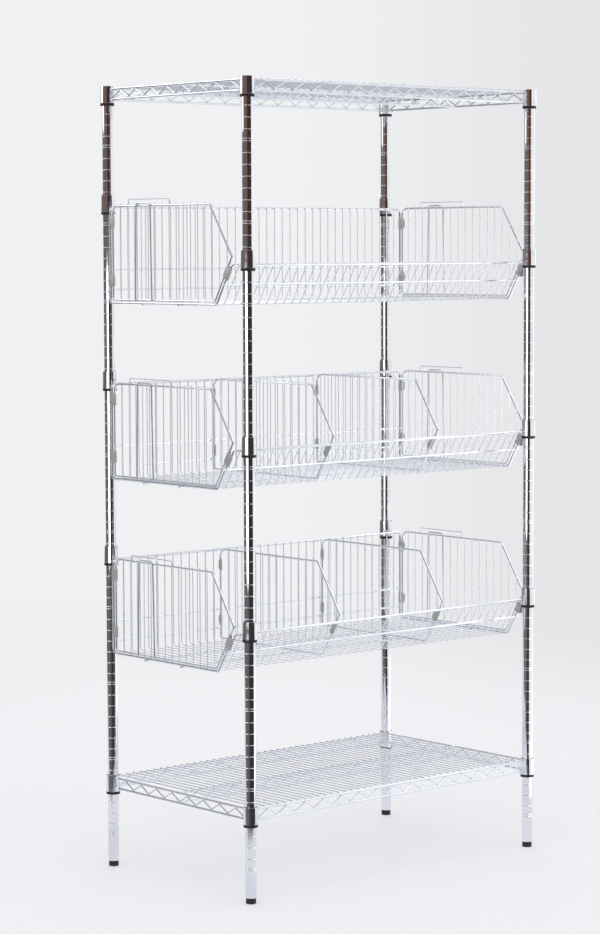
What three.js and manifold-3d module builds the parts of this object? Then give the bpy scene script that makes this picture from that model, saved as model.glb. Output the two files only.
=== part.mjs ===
// Bakery bread rack: four round posts, two wire shelves and three slanted-front wire baskets.
// Millimetres, +Z up, the open front of the baskets looks along -Y and the floor is z = 0.
import * as THREE from 'three';
import { mergeVertices } from 'three/addons/utils/BufferGeometryUtils.js';
import Module from 'manifold-3d';

const wasm = await Module();
wasm.setup();

// Posts stand at the corners of a rectangle. Their height marks are one inch apart, counted from the floor.
const POST_SPAN_X = 870;
const POST_SPAN_Y = 502;
const POST_RADIUS = 12.7;
const POST_WALL = 1.2;
const POST_TOP = 1814.6;
const MARK = 25.4;
const CLEARANCE = 0.35;

// Height marks that carry each tier. The rear corners of a basket sit higher than its front corners.
const TOP_SHELF_MARK = 70;
const BOTTOM_SHELF_MARK = 7;
const BASKET_FRONT_MARKS = { upper: 55, middle: 39, lower: 23 };
const BASKET_REAR_RISE = 5 * MARK;

// Tapered split sleeves grip the posts, and the collars of the tiers wedge down over them.
const SLEEVE_HEIGHT = 36;
const SLEEVE_SHOWING = 6.4;
const SLEEVE_FOOT_RADIUS = 15.7;
const SLEEVE_TOP_RADIUS = 15.2;
const COLLAR_HEIGHT = 38.5;
const COLLAR_FOOT_RADIUS = 17.2;
const COLLAR_TOP_RADIUS = 16.6;
const COLLAR_WALL_RADIUS = 15.05;
const BASKET_COLLAR_LIFT = 5.3;

// Levelling feet screw into plugs in the lower post ends, and a cap closes each upper end.
const FOOT_RADIUS = 11.75;
const FOOT_HEIGHT = 12.7;
const STEM_RADIUS = 4;
const STEM_TOP = 52;
const INSERT_HEIGHT = 22;
const FOOT_CHAMFER = 1.2;
const FOOT_CHAMFER_RISE = 1.5;
const STEM_PLAY = 0.5;
const CAP_DEPTH = 10;
const CAP_CROWN = 2.1;
const CAP_MARGIN = 0.2;
const CAP_EDGE_DRAW = 0.6;
const CAP_EDGE_SHARE = 0.75;

// Wire shelves: two perimeter rods tied by a zigzag, one truss along the middle and a deck of thin wires.
const ROD_RADIUS = 3;
const SHELF_TOP_ROD = 32;
const SHELF_LOW_ROD = 8.5;
const ZIGZAG_RADIUS = 1.7;
const ZIGZAG_END_GAP = 22;
const LONG_ZIGZAGS = 15;
const SHORT_ZIGZAGS = 8;
const DECK_WIRES = 42;

// Basket section, measured from the front height mark: rear wall, floor, then a lip that leans outwards.
const BASKET_END_X = 453;
const REAR_Y = 217;
const RIM_Z = 143;
const FLOOR_Z = -75;
const FLOOR_FRONT_Y = -166;
const LIP_TOP_Y = -218;
const LIP_TOP_Z = 12;
const BASKET_WIRES = 36;
const WIRE_RADIUS = 1.4;
const BRACE_RADIUS = 2.4;
const BRACE_OVERHANG = 9;
const REAR_BRACE_HEIGHTS = [0, -46];
const FLOOR_BRACE_PLACES = [90, -40];
const LIP_BRACE_SHARE = 0.5;

// End panels and dividers share one outline, which nests inside the basket section.
const PANEL_INSET = 8.6;
const PANEL_ROD_RADIUS = 2.5;
const PANEL_WIRE_RADIUS = 1.25;
const PANEL_WIRE_PITCH = 25.4;
const PANEL_TOP_Z = 145;
const PANEL_BOTTOM_Z = FLOOR_Z + 6.6;
const PANEL_SLOPE_Y = -143;
const NOSE_Z = 30;
const PANEL_CORNER = 18;
const PANEL_CORNER_BENDS = 2;
const DIVIDER_PLAY = 1;
const DIVIDER_PLACES = { middle: [-158, 167], lower: [-141, 183] };

// Sheet metal clips hold the panels: two on the rear rod and one on the lip.
const CLIP_SHEET = 1.6;
const CLIP_HEIGHT = 26;
const CLIP_REACH = 5;
const REAR_CLIP_HEIGHTS = [108, -24];
const LIP_CLIP_PLACE = 79;
const LIP_CLIP_LENGTH = 30;

// Each end panel carries a narrow bracket over its full height and a low wide loop on its top rod.
const BRACKET_RADIUS = 2.2;
const BRACKET_TOP_SPAN = 51;
const BRACKET_FOOT_SPAN = 60;
const BRACKET_Y = 91;
const BRACKET_RISE = 5.5;
const BRACKET_OUT = 3.8;
const LOOP_LENGTH = 150;
const LOOP_Y = 70;
const LOOP_RISE = 14;
const LOOP_LEAN = 5;
const LOOP_RADIUS = 1.6;

// Facets around each kind of round section. Posts, collars and rods turn a flat to each axis.
const POST_SIDES = 12;
const COLLAR_SIDES = 8;
const ROD_SIDES = 4;
const WIRE_SIDES = 3;
const MERGE_WITHIN = 1e-4;

const X_AXIS = new THREE.Vector3(1, 0, 0);
const Y_AXIS = new THREE.Vector3(0, 1, 0);
const Z_AXIS = new THREE.Vector3(0, 0, 1);
const POST_X = POST_SPAN_X / 2;
const POST_Y = POST_SPAN_Y / 2;
const CORNERS = [
  { name: 'front_left', x: -POST_X, y: -POST_Y },
  { name: 'front_right', x: POST_X, y: -POST_Y },
  { name: 'rear_left', x: -POST_X, y: POST_Y },
  { name: 'rear_right', x: POST_X, y: POST_Y },
];

const CHROME = { color: 0xc8ccd2, roughness: 0.16, metalness: 1 };
const BLACK_PLASTIC = { color: 0x15161a, roughness: 0.5, metalness: 0 };
const GREY_PLASTIC = { color: 0x6f7277, roughness: 0.55, metalness: 0 };

function point(x, y, z) {
  return new THREE.Vector3(x, y, z);
}

// Corner radius of a facetted section with the same area as a round one.
function cornerRadius(radius, sides) {
  return radius * Math.sqrt((2 * Math.PI) / (sides * Math.sin((2 * Math.PI) / sides)));
}

// Half of a rod's thickness across its flats, and half of a wire's width across its plane.
function halfThickness(radius) {
  return cornerRadius(radius, ROD_SIDES) * Math.cos(Math.PI / ROD_SIDES);
}

function halfWidth(radius) {
  return cornerRadius(radius, WIRE_SIDES) * Math.sin(Math.PI / WIRE_SIDES);
}

// A closed solid from a geometry, with shared corners merged and collapsed faces dropped.
function solid(geometry) {
  const bare = new THREE.BufferGeometry();
  bare.setAttribute('position', geometry.getAttribute('position'));
  bare.setIndex(geometry.getIndex());
  const merged = mergeVertices(bare, MERGE_WITHIN);
  const corners = merged.getIndex().array;
  const kept = [];
  for (let i = 0; i < corners.length; i += 3) {
    const [a, b, c] = corners.slice(i, i + 3);
    if (a !== b && b !== c && c !== a) {
      kept.push(a, b, c);
    }
  }
  const vertProperties = new Float32Array(merged.getAttribute('position').array);
  return new wasm.Manifold(new wasm.Mesh({ numProp: 3, vertProperties, triVerts: new Uint32Array(kept) }));
}

// One welded body from several overlapping geometries.
function weld(geometries) {
  const mesh = wasm.Manifold.union(geometries.map(solid)).getMesh();
  const geometry = new THREE.BufferGeometry();
  geometry.setAttribute('position', new THREE.BufferAttribute(mesh.vertProperties, 3));
  geometry.setIndex(new THREE.BufferAttribute(mesh.triVerts, 1));
  geometry.computeVertexNormals();
  return geometry;
}

// A round piece turned about the Z axis from a profile of [radius, height] pairs.
function turned(profile, sides) {
  const outline = profile.map(([radius, height]) => new THREE.Vector2(radius, height));
  return new THREE.LatheGeometry(outline, sides, Math.PI / sides).rotateX(Math.PI / 2);
}

// A wire along straight stretches in one plane. Sections halve each bend and turn a flat into the plane.
function wire(points, radius, sides, planeNormal, closed = false) {
  const count = points.length;
  const ahead = (i) => points[(i + 1) % count].clone().sub(points[i]).normalize();
  const positions = [];
  points.forEach((middle, i) => {
    const start = !closed && i === 0;
    const end = !closed && i === count - 1;
    const into = ahead(start ? i : (i + count - 1) % count);
    const out = end ? into : ahead(i);
    const along = into.clone().add(out).normalize();
    const across = along.clone().cross(planeNormal).normalize();
    const stretch = 1 / along.dot(into);
    const reach = cornerRadius(radius, sides);
    for (let k = 0; k < sides; k += 1) {
      const angle = Math.PI / 2 + ((k + 0.5) * 2 * Math.PI) / sides;
      const corner = middle.clone();
      corner.addScaledVector(planeNormal, reach * Math.cos(angle));
      corner.addScaledVector(across, reach * stretch * Math.sin(angle));
      positions.push(corner.x, corner.y, corner.z);
    }
  });
  const faces = [];
  for (let i = 0; i < (closed ? count : count - 1); i += 1) {
    const ring = i * sides;
    const next = ((i + 1) % count) * sides;
    for (let k = 0; k < sides; k += 1) {
      const side = (k + 1) % sides;
      faces.push(ring + k, ring + side, next + side, ring + k, next + side, next + k);
    }
  }
  if (!closed) {
    const last = (count - 1) * sides;
    for (let k = 1; k < sides - 1; k += 1) {
      faces.push(0, k + 1, k, last, last + k, last + k + 1);
    }
  }
  const geometry = new THREE.BufferGeometry();
  geometry.setAttribute('position', new THREE.Float32BufferAttribute(positions, 3));
  geometry.setIndex(faces);
  return geometry;
}

// A straight rod along X between two ends, with its flats turned up or along the given normal's plane.
function rodAlongX(halfLength, y, z, radius, planeNormal) {
  return wire([point(-halfLength, y, z), point(halfLength, y, z)], radius, ROD_SIDES, planeNormal);
}

function rodAlongY(fromY, toY, x, z, radius) {
  return wire([point(x, fromY, z), point(x, toY, z)], radius, ROD_SIDES, X_AXIS);
}

function postTube() {
  const inside = POST_RADIUS - POST_WALL;
  const bottom = FOOT_HEIGHT + CLEARANCE;
  const profile = [
    [inside, bottom],
    [POST_RADIUS, bottom],
    [POST_RADIUS, POST_TOP],
    [inside, POST_TOP],
    [inside, bottom],
  ];
  return weld([turned(profile, POST_SIDES)]);
}

function postCap() {
  const plug = POST_RADIUS - POST_WALL - CLEARANCE;
  const rim = POST_RADIUS - CAP_MARGIN;
  const profile = [
    [0, POST_TOP - CAP_DEPTH],
    [plug, POST_TOP - CAP_DEPTH],
    [plug, POST_TOP + CLEARANCE],
    [rim, POST_TOP + CLEARANCE],
    [rim - CAP_EDGE_DRAW, POST_TOP + CAP_EDGE_SHARE * CAP_CROWN],
    [0, POST_TOP + CAP_CROWN],
  ];
  return weld([turned(profile, COLLAR_SIDES)]);
}

function threadedInsert() {
  const outside = POST_RADIUS - POST_WALL - CLEARANCE;
  const bore = STEM_RADIUS + STEM_PLAY;
  const bottom = FOOT_HEIGHT + CLEARANCE;
  const profile = [
    [bore, bottom],
    [outside, bottom],
    [outside, bottom + INSERT_HEIGHT],
    [bore, bottom + INSERT_HEIGHT],
    [bore, bottom],
  ];
  return weld([turned(profile, COLLAR_SIDES)]);
}

function levellingFoot() {
  const profile = [
    [0, 0],
    [FOOT_RADIUS - FOOT_CHAMFER, 0],
    [FOOT_RADIUS, FOOT_CHAMFER_RISE],
    [FOOT_RADIUS, FOOT_HEIGHT],
    [STEM_RADIUS, FOOT_HEIGHT],
    [STEM_RADIUS, STEM_TOP],
    [0, STEM_TOP],
  ];
  return weld([turned(profile, COLLAR_SIDES)]);
}

// The sleeve's bore clears the post's corners, so the two never touch as the facets differ.
function sleeve() {
  const bore = (POST_RADIUS + CLEARANCE) / Math.cos(Math.PI / COLLAR_SIDES);
  const profile = [
    [bore, 0],
    [SLEEVE_FOOT_RADIUS, 0],
    [SLEEVE_TOP_RADIUS, SLEEVE_HEIGHT],
    [bore, SLEEVE_HEIGHT],
    [bore, 0],
  ];
  return weld([turned(profile, COLLAR_SIDES)]);
}

// A collar's bore follows the taper of the sleeve that it wedges onto.
function collar(x, y, base) {
  const taper = (SLEEVE_FOOT_RADIUS - SLEEVE_TOP_RADIUS) / SLEEVE_HEIGHT;
  const footBore = SLEEVE_FOOT_RADIUS - taper * SLEEVE_SHOWING + CLEARANCE;
  const topBore = footBore - taper * COLLAR_HEIGHT;
  const profile = [
    [footBore, 0],
    [COLLAR_FOOT_RADIUS, 0],
    [COLLAR_TOP_RADIUS, COLLAR_HEIGHT],
    [topBore, COLLAR_HEIGHT],
    [footBore, 0],
  ];
  return turned(profile, COLLAR_SIDES).translate(x, y, base);
}

// A zigzag of wire between two rods. Its ends are let into the lower rod.
function zigzag(place, halfLength, waves, lowRod, topRod, planeNormal) {
  const gap = halfThickness(ROD_RADIUS) + CLEARANCE + cornerRadius(ZIGZAG_RADIUS, WIRE_SIDES);
  const bends = 2 * waves;
  const points = [];
  for (let i = 0; i <= bends; i += 1) {
    const isEnd = i === 0 || i === bends;
    const low = isEnd ? lowRod : lowRod + gap;
    const height = i % 2 === 0 ? low : topRod - gap;
    points.push(place((2 * i / bends - 1) * halfLength, height));
  }
  return wire(points, ZIGZAG_RADIUS, WIRE_SIDES, planeNormal);
}

function wireShelf(base) {
  const top = base + SHELF_TOP_ROD;
  const low = base + SHELF_LOW_ROD;
  const halfX = POST_X - COLLAR_WALL_RADIUS;
  const halfY = POST_Y - COLLAR_WALL_RADIUS;
  const underDeck = top - halfWidth(WIRE_RADIUS) - CLEARANCE - halfThickness(ROD_RADIUS);
  const pieces = CORNERS.map(({ x, y }) => collar(x, y, base));
  for (const side of [-1, 1]) {
    const x = side * POST_X;
    const y = side * POST_Y;
    pieces.push(rodAlongX(halfX, y, top, ROD_RADIUS, Z_AXIS));
    pieces.push(rodAlongX(halfX, y, low, ROD_RADIUS, Y_AXIS));
    pieces.push(rodAlongY(-halfY, halfY, x, top, ROD_RADIUS));
    pieces.push(rodAlongY(-halfY, halfY, x, low, ROD_RADIUS));
    const alongX = (s, z) => point(s, y, z);
    const alongY = (s, z) => point(x, s, z);
    pieces.push(zigzag(alongX, POST_X - ZIGZAG_END_GAP, LONG_ZIGZAGS, low, top, Y_AXIS));
    pieces.push(zigzag(alongY, POST_Y - ZIGZAG_END_GAP, SHORT_ZIGZAGS, low, top, X_AXIS));
  }
  const middle = (s, z) => point(s, 0, z);
  pieces.push(rodAlongX(POST_X, 0, underDeck, ROD_RADIUS, Y_AXIS));
  pieces.push(rodAlongX(POST_X, 0, low, ROD_RADIUS, Y_AXIS));
  pieces.push(zigzag(middle, POST_X - ZIGZAG_END_GAP, LONG_ZIGZAGS, low, underDeck, Y_AXIS));
  const wireFront = ROD_RADIUS / 2 - POST_Y;
  const wireRear = POST_Y - halfThickness(ROD_RADIUS) - CLEARANCE;
  for (let i = 1; i <= DECK_WIRES; i += 1) {
    const x = POST_SPAN_X * (i / (DECK_WIRES + 1) - 0.5);
    pieces.push(wire([point(x, wireFront, top), point(x, wireRear, top)], WIRE_RADIUS, WIRE_SIDES, Z_AXIS));
  }
  return weld(pieces);
}

// The leaning lip: its length up the slope and its angle from upright.
const LIP_LENGTH = Math.hypot(LIP_TOP_Y - FLOOR_FRONT_Y, LIP_TOP_Z - FLOOR_Z);
const LIP_LEAN = Math.atan2(FLOOR_FRONT_Y - LIP_TOP_Y, LIP_TOP_Z - FLOOR_Z);

function wirePlaces() {
  const pitch = (2 * BASKET_END_X) / (BASKET_WIRES + 1);
  return Array.from({ length: BASKET_WIRES }, (_, i) => (i + 1) * pitch - BASKET_END_X);
}

// Braces lie against the outer side of the wires and are welded across the end rods.
const BRACE_OFFSET = halfWidth(WIRE_RADIUS) + CLEARANCE + halfThickness(BRACE_RADIUS);
const BRACE_HALF = BASKET_END_X + BRACE_OVERHANG;

function basketBack(mark) {
  const rim = mark + RIM_Z;
  const foot = mark + FLOOR_Z - halfThickness(ROD_RADIUS);
  const frame = [
    point(-BASKET_END_X, REAR_Y, foot),
    point(-BASKET_END_X, REAR_Y, rim),
    point(BASKET_END_X, REAR_Y, rim),
    point(BASKET_END_X, REAR_Y, foot),
  ];
  const pieces = [wire(frame, ROD_RADIUS, ROD_SIDES, Y_AXIS)];
  for (const x of wirePlaces()) {
    const ends = [point(x, REAR_Y, mark + FLOOR_Z), point(x, REAR_Y, rim - ROD_RADIUS / 2)];
    pieces.push(wire(ends, WIRE_RADIUS, WIRE_SIDES, Y_AXIS));
  }
  for (const height of REAR_BRACE_HEIGHTS) {
    pieces.push(rodAlongX(BASKET_END_X, REAR_Y + BRACE_OFFSET, mark + height, BRACE_RADIUS, Y_AXIS));
  }
  for (const x of [-POST_X, POST_X]) {
    pieces.push(collar(x, POST_Y, mark + BASKET_REAR_RISE + BASKET_COLLAR_LIFT));
    pieces.push(rodAlongY(REAR_Y, POST_Y - COLLAR_WALL_RADIUS, x, rim, BRACE_RADIUS));
  }
  return weld(pieces);
}

function basketFloor(mark) {
  const floor = mark + FLOOR_Z;
  const rear = REAR_Y - halfThickness(ROD_RADIUS) - CLEARANCE;
  const frame = [
    point(-BASKET_END_X, rear, floor),
    point(-BASKET_END_X, FLOOR_FRONT_Y, floor),
    point(BASKET_END_X, FLOOR_FRONT_Y, floor),
    point(BASKET_END_X, rear, floor),
  ];
  const pieces = [wire(frame, ROD_RADIUS, ROD_SIDES, Z_AXIS)];
  const wireRear = REAR_Y - halfWidth(WIRE_RADIUS) - CLEARANCE;
  for (const x of wirePlaces()) {
    const ends = [point(x, FLOOR_FRONT_Y + ROD_RADIUS / 2, floor), point(x, wireRear, floor)];
    pieces.push(wire(ends, WIRE_RADIUS, WIRE_SIDES, Z_AXIS));
  }
  for (const y of FLOOR_BRACE_PLACES) {
    pieces.push(rodAlongX(BRACE_HALF, y, floor - BRACE_OFFSET, BRACE_RADIUS, Y_AXIS));
  }
  return weld(pieces);
}

// The lip is laid out upright at the origin, leant forward about its foot, then welded to its collars.
function basketLip(mark) {
  const foot = cornerRadius(ROD_RADIUS, ROD_SIDES) + CLEARANCE;
  const frame = [
    point(-BASKET_END_X, 0, foot),
    point(-BASKET_END_X, 0, LIP_LENGTH),
    point(BASKET_END_X, 0, LIP_LENGTH),
    point(BASKET_END_X, 0, foot),
  ];
  const upright = [wire(frame, ROD_RADIUS, ROD_SIDES, Y_AXIS)];
  for (const x of wirePlaces()) {
    const ends = [point(x, 0, foot), point(x, 0, LIP_LENGTH - ROD_RADIUS / 2)];
    upright.push(wire(ends, WIRE_RADIUS, WIRE_SIDES, Y_AXIS));
  }
  upright.push(rodAlongX(BRACE_HALF, -BRACE_OFFSET, LIP_BRACE_SHARE * LIP_LENGTH, BRACE_RADIUS, Y_AXIS));
  const pieces = [weld(upright).rotateX(LIP_LEAN).translate(0, FLOOR_FRONT_Y, mark + FLOOR_Z)];
  for (const x of [-POST_X, POST_X]) {
    pieces.push(collar(x, -POST_Y, mark + BASKET_COLLAR_LIFT));
    pieces.push(rodAlongY(COLLAR_WALL_RADIUS - POST_Y, LIP_TOP_Y, x, mark + LIP_TOP_Z, BRACE_RADIUS));
  }
  return weld(pieces);
}

// Corners of the panel outline: up the rear rod, forward along the top, down the slope to the nose.
function panelCorners(x, mark) {
  const rear = REAR_Y - PANEL_INSET;
  const atLip = (z) => FLOOR_FRONT_Y + PANEL_INSET / Math.cos(LIP_LEAN) - (z - FLOOR_Z) * Math.tan(LIP_LEAN);
  const points = [point(x, rear, mark + PANEL_BOTTOM_Z)];
  for (let i = 0; i <= PANEL_CORNER_BENDS; i += 1) {
    const angle = (i / PANEL_CORNER_BENDS) * (Math.PI / 2);
    const y = rear - PANEL_CORNER * (1 - Math.cos(angle));
    points.push(point(x, y, mark + PANEL_TOP_Z - PANEL_CORNER * (1 - Math.sin(angle))));
  }
  points.push(point(x, PANEL_SLOPE_Y, mark + PANEL_TOP_Z));
  points.push(point(x, atLip(NOSE_Z), mark + NOSE_Z));
  points.push(point(x, atLip(PANEL_BOTTOM_Z), mark + PANEL_BOTTOM_Z));
  return points;
}

// Height of the straight stretch between two corners, at the given y.
function heightBetween(a, b, y) {
  return a.z + ((b.z - a.z) * (y - a.y)) / (b.y - a.y);
}

// Closed outline rod with upright wires. Their upper ends are let into it and their feet rest on it.
function panelGrid(x, mark) {
  const corners = panelCorners(x, mark);
  const [shoulder, nose, toe] = corners.slice(-3);
  const heel = corners[0];
  const footing = toe.z + halfThickness(PANEL_ROD_RADIUS) + CLEARANCE;
  const pieces = [wire(corners, PANEL_ROD_RADIUS, ROD_SIDES, X_AXIS, true)];
  for (let y = heel.y - PANEL_WIRE_PITCH; y > nose.y + PANEL_WIRE_PITCH / 2; y -= PANEL_WIRE_PITCH) {
    const top = y > shoulder.y ? shoulder.z : heightBetween(shoulder, nose, y);
    const bottom = y > toe.y ? footing : heightBetween(toe, nose, y);
    pieces.push(wire([point(x, y, bottom), point(x, y, top)], PANEL_WIRE_RADIUS, WIRE_SIDES, X_AXIS));
  }
  return pieces;
}

// A clip of folded sheet, drawn as its section and extruded along the rod that it grips.
// Its inner leaf is let into the panel rod, and its outer leaf reaches past the neighbouring basket rod.
function clip(inward, towardsY, reach, length) {
  const grip = halfThickness(PANEL_ROD_RADIUS);
  const lifted = halfThickness(ROD_RADIUS) + CLEARANCE;
  const outline = [
    [grip - CLIP_SHEET, -CLIP_REACH],
    [lifted + CLIP_SHEET, -CLIP_REACH],
    [lifted + CLIP_SHEET, reach],
    [lifted, reach],
    [lifted, grip],
    [grip - CLIP_SHEET, grip],
  ];
  const turn = inward * towardsY;
  const points = outline.map(([x, y]) => new THREE.Vector2(inward * x, towardsY * y));
  const section = new THREE.Shape(turn > 0 ? points : points.reverse());
  const geometry = new THREE.ExtrudeGeometry(section, { depth: length, bevelEnabled: false });
  return geometry.translate(0, 0, -length / 2);
}

// Two clips on the rear rod and one on the lip.
function panelClips(x, mark, reach, inward) {
  const pieces = REAR_CLIP_HEIGHTS.map((height) => {
    const rearClip = clip(inward, 1, reach, CLIP_HEIGHT);
    return rearClip.translate(x, REAR_Y - PANEL_INSET, mark + height);
  });
  const lipClip = clip(inward, -1, reach, LIP_CLIP_LENGTH).translate(x, PANEL_INSET, LIP_CLIP_PLACE);
  pieces.push(lipClip.rotateX(LIP_LEAN).translate(0, FLOOR_FRONT_Y, mark + FLOOR_Z));
  return pieces;
}

function endPanel(side, mark) {
  const x = side * BASKET_END_X;
  const outer = x + side * BRACKET_OUT;
  const top = mark + PANEL_TOP_Z;
  const foot = mark + PANEL_BOTTOM_Z;
  const bracket = [
    point(outer, BRACKET_Y + BRACKET_FOOT_SPAN / 2, foot),
    point(outer, BRACKET_Y + BRACKET_TOP_SPAN / 2, top + BRACKET_RISE),
    point(outer, BRACKET_Y - BRACKET_TOP_SPAN / 2, top + BRACKET_RISE),
    point(outer, BRACKET_Y - BRACKET_FOOT_SPAN / 2, foot),
  ];
  const leaning = x + side * LOOP_LEAN;
  const loop = [
    point(x, LOOP_Y + LOOP_LENGTH / 2, top),
    point(leaning, LOOP_Y + LOOP_LENGTH / 2, top + LOOP_RISE),
    point(leaning, LOOP_Y - LOOP_LENGTH / 2, top + LOOP_RISE),
    point(x, LOOP_Y - LOOP_LENGTH / 2, top),
  ];
  const loopNormal = point(LOOP_RISE, 0, -side * LOOP_LEAN).normalize();
  const reach = PANEL_INSET + ROD_RADIUS;
  const pieces = panelGrid(x, mark);
  pieces.push(...panelClips(x, mark, reach, -side));
  pieces.push(wire(bracket, BRACKET_RADIUS, ROD_SIDES, X_AXIS));
  pieces.push(wire(loop, LOOP_RADIUS, ROD_SIDES, loopNormal));
  return weld(pieces);
}

// A divider slides between the rear wall and the lip, so its clips stop short of the basket's wires.
function divider(x, mark) {
  const reach = PANEL_INSET - halfWidth(WIRE_RADIUS) - DIVIDER_PLAY;
  return weld([...panelGrid(x, mark), ...panelClips(x, mark, reach, 1)]);
}

const rack = new THREE.Group();
rack.name = 'bakery_bread_rack';

function add(name, geometry, finish, place = point(0, 0, 0)) {
  const mesh = new THREE.Mesh(geometry, new THREE.MeshStandardMaterial({ ...finish, flatShading: true }));
  mesh.name = name;
  mesh.position.copy(place);
  rack.add(mesh);
}

for (const { name, x, y } of CORNERS) {
  const place = point(x, y, 0);
  add(`post_${name}`, postTube(), CHROME, place);
  add(`cap_${name}`, postCap(), GREY_PLASTIC, place);
  add(`insert_${name}`, threadedInsert(), GREY_PLASTIC, place);
  add(`foot_${name}`, levellingFoot(), BLACK_PLASTIC, place);
}

function addSleeves(tier, frontBase, rearBase) {
  for (const { name, x, y } of CORNERS) {
    const base = y < 0 ? frontBase : rearBase;
    add(`sleeve_${tier}_${name}`, sleeve(), BLACK_PLASTIC, point(x, y, base - SLEEVE_SHOWING));
  }
}

for (const [tier, mark] of [['top', TOP_SHELF_MARK], ['bottom', BOTTOM_SHELF_MARK]]) {
  const base = mark * MARK;
  add(`${tier}_shelf`, wireShelf(base), CHROME);
  addSleeves(tier, base, base);
}

for (const [tier, frontMark] of Object.entries(BASKET_FRONT_MARKS)) {
  const mark = frontMark * MARK;
  const base = mark + BASKET_COLLAR_LIFT;
  add(`${tier}_basket_back`, basketBack(mark), CHROME);
  add(`${tier}_basket_floor`, basketFloor(mark), CHROME);
  add(`${tier}_basket_lip`, basketLip(mark), CHROME);
  add(`${tier}_basket_left_end`, endPanel(-1, mark), CHROME);
  add(`${tier}_basket_right_end`, endPanel(1, mark), CHROME);
  addSleeves(tier, base, base + BASKET_REAR_RISE);
}

for (const [tier, places] of Object.entries(DIVIDER_PLACES)) {
  const mark = BASKET_FRONT_MARKS[tier] * MARK;
  places.forEach((x, i) => {
    add(`${tier}_divider_${i === 0 ? 'left' : 'right'}`, divider(x, mark), CHROME);
  });
}

export default rack;
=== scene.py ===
# %% [markdown]
# The bread rack
# A bakery bread rack is welded from round steel wire, bright chromed, and hung on four grooved posts.
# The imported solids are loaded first, and they fix every place and size: posts, feet, sleeves and dividers
# stand where the boxes of their solids are, and each tier takes its height from its sleeves.

# %% Load the frame
import math

import bpy
from mathutils import Euler, Matrix, Vector


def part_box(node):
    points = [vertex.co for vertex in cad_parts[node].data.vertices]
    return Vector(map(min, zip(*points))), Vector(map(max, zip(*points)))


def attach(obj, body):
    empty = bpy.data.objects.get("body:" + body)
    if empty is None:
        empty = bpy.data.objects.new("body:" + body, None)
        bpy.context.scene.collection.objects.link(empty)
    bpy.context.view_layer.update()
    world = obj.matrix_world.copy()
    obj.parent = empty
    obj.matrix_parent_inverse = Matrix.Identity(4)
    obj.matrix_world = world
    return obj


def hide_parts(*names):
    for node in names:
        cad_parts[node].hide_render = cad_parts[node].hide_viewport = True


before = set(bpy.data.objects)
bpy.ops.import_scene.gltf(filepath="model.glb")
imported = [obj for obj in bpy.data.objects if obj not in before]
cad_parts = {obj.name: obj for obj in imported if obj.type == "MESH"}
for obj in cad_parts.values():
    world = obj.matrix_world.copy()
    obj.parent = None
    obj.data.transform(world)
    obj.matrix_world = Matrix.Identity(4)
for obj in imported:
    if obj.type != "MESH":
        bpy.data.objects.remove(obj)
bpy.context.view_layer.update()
MM = 0.001
CORNERS = ("front_left", "front_right", "rear_left", "rear_right")
BASKETS = ("upper", "middle", "lower")

# %% [markdown]
# Hand tools
# Three shop tools make nearly every piece. A lathe draws a profile point by point and spins it round,
# which suits tubes, collars and feet. A wire bender sweeps a round section along a route of points, which
# is quicker and cleaner than extruding each wire by hand. A corner rounder gives the routes real bends.

# %% Selecting and closing
SMOOTH_BELOW = math.radians(34)
WELD_TOGETHER = 0.004 * MM


def nothing_selected():
    bpy.ops.object.select_all(action="DESELECT")


def only(piece):
    nothing_selected()
    piece.select_set(True)
    bpy.context.view_layer.objects.active = piece


def closed_and_smooth(piece):
    only(piece)
    bpy.ops.object.mode_set(mode="EDIT")
    bpy.ops.mesh.select_all(action="SELECT")
    bpy.ops.mesh.remove_doubles(threshold=WELD_TOGETHER)
    bpy.ops.mesh.normals_make_consistent(inside=False)
    bpy.ops.object.mode_set(mode="OBJECT")
    bpy.ops.object.shade_smooth_by_angle(angle=SMOOTH_BELOW)
    return piece


print("edges are smooth below", round(math.degrees(SMOOTH_BELOW)), "degrees")

# %% Lathe
CENTRE = (0.0, 0.0, 0.0)
UPRIGHT = (0.0, 0.0, 1.0)
FULL_TURN = 360.0


def drawn(name, places):
    """Draws a line through the places by pulling one point along, and stays in edit mode."""
    nothing_selected()
    bpy.ops.mesh.primitive_plane_add(size=MM)
    piece = bpy.context.object
    piece.name = name
    places = [Vector(place) for place in places]
    bpy.ops.object.mode_set(mode="EDIT")
    bpy.ops.mesh.merge(type="CENTER")
    bpy.ops.transform.translate(value=places[0])
    for place, following in zip(places, places[1:]):
        bpy.ops.mesh.extrude_vertices_move(TRANSFORM_OT_translate={"value": following - place})
    bpy.ops.mesh.select_all(action="SELECT")
    return piece


def turned(name, outline, sides, sweep=FULL_TURN, first=0.0):
    """Draws an outline of (radius, height) points and spins it about the upright axis."""
    piece = drawn(name, [(radius, 0.0, height) for radius, height in outline])
    is_ring = outline[0] == outline[-1]
    if is_ring:
        bpy.ops.mesh.remove_doubles(threshold=WELD_TOGETHER)
    if sweep < FULL_TURN:
        bpy.ops.mesh.edge_face_add()
        bpy.ops.transform.rotate(value=-math.radians(first), orient_axis="Z", center_override=CENTRE)
    bpy.ops.mesh.spin(steps=sides, angle=math.radians(sweep), center=CENTRE, axis=UPRIGHT)
    bpy.ops.mesh.select_all(action="SELECT")
    if sweep < FULL_TURN or not is_ring:
        bpy.ops.mesh.fill_holes(sides=0)
    bpy.ops.object.mode_set(mode="OBJECT")
    return closed_and_smooth(piece)


print("lathe ready: drawn, turned")

# %% Wire bender and corner rounder
WIRE_RINGS, ROD_RINGS = 2, 3
BEND_STEPS = 5


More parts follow.
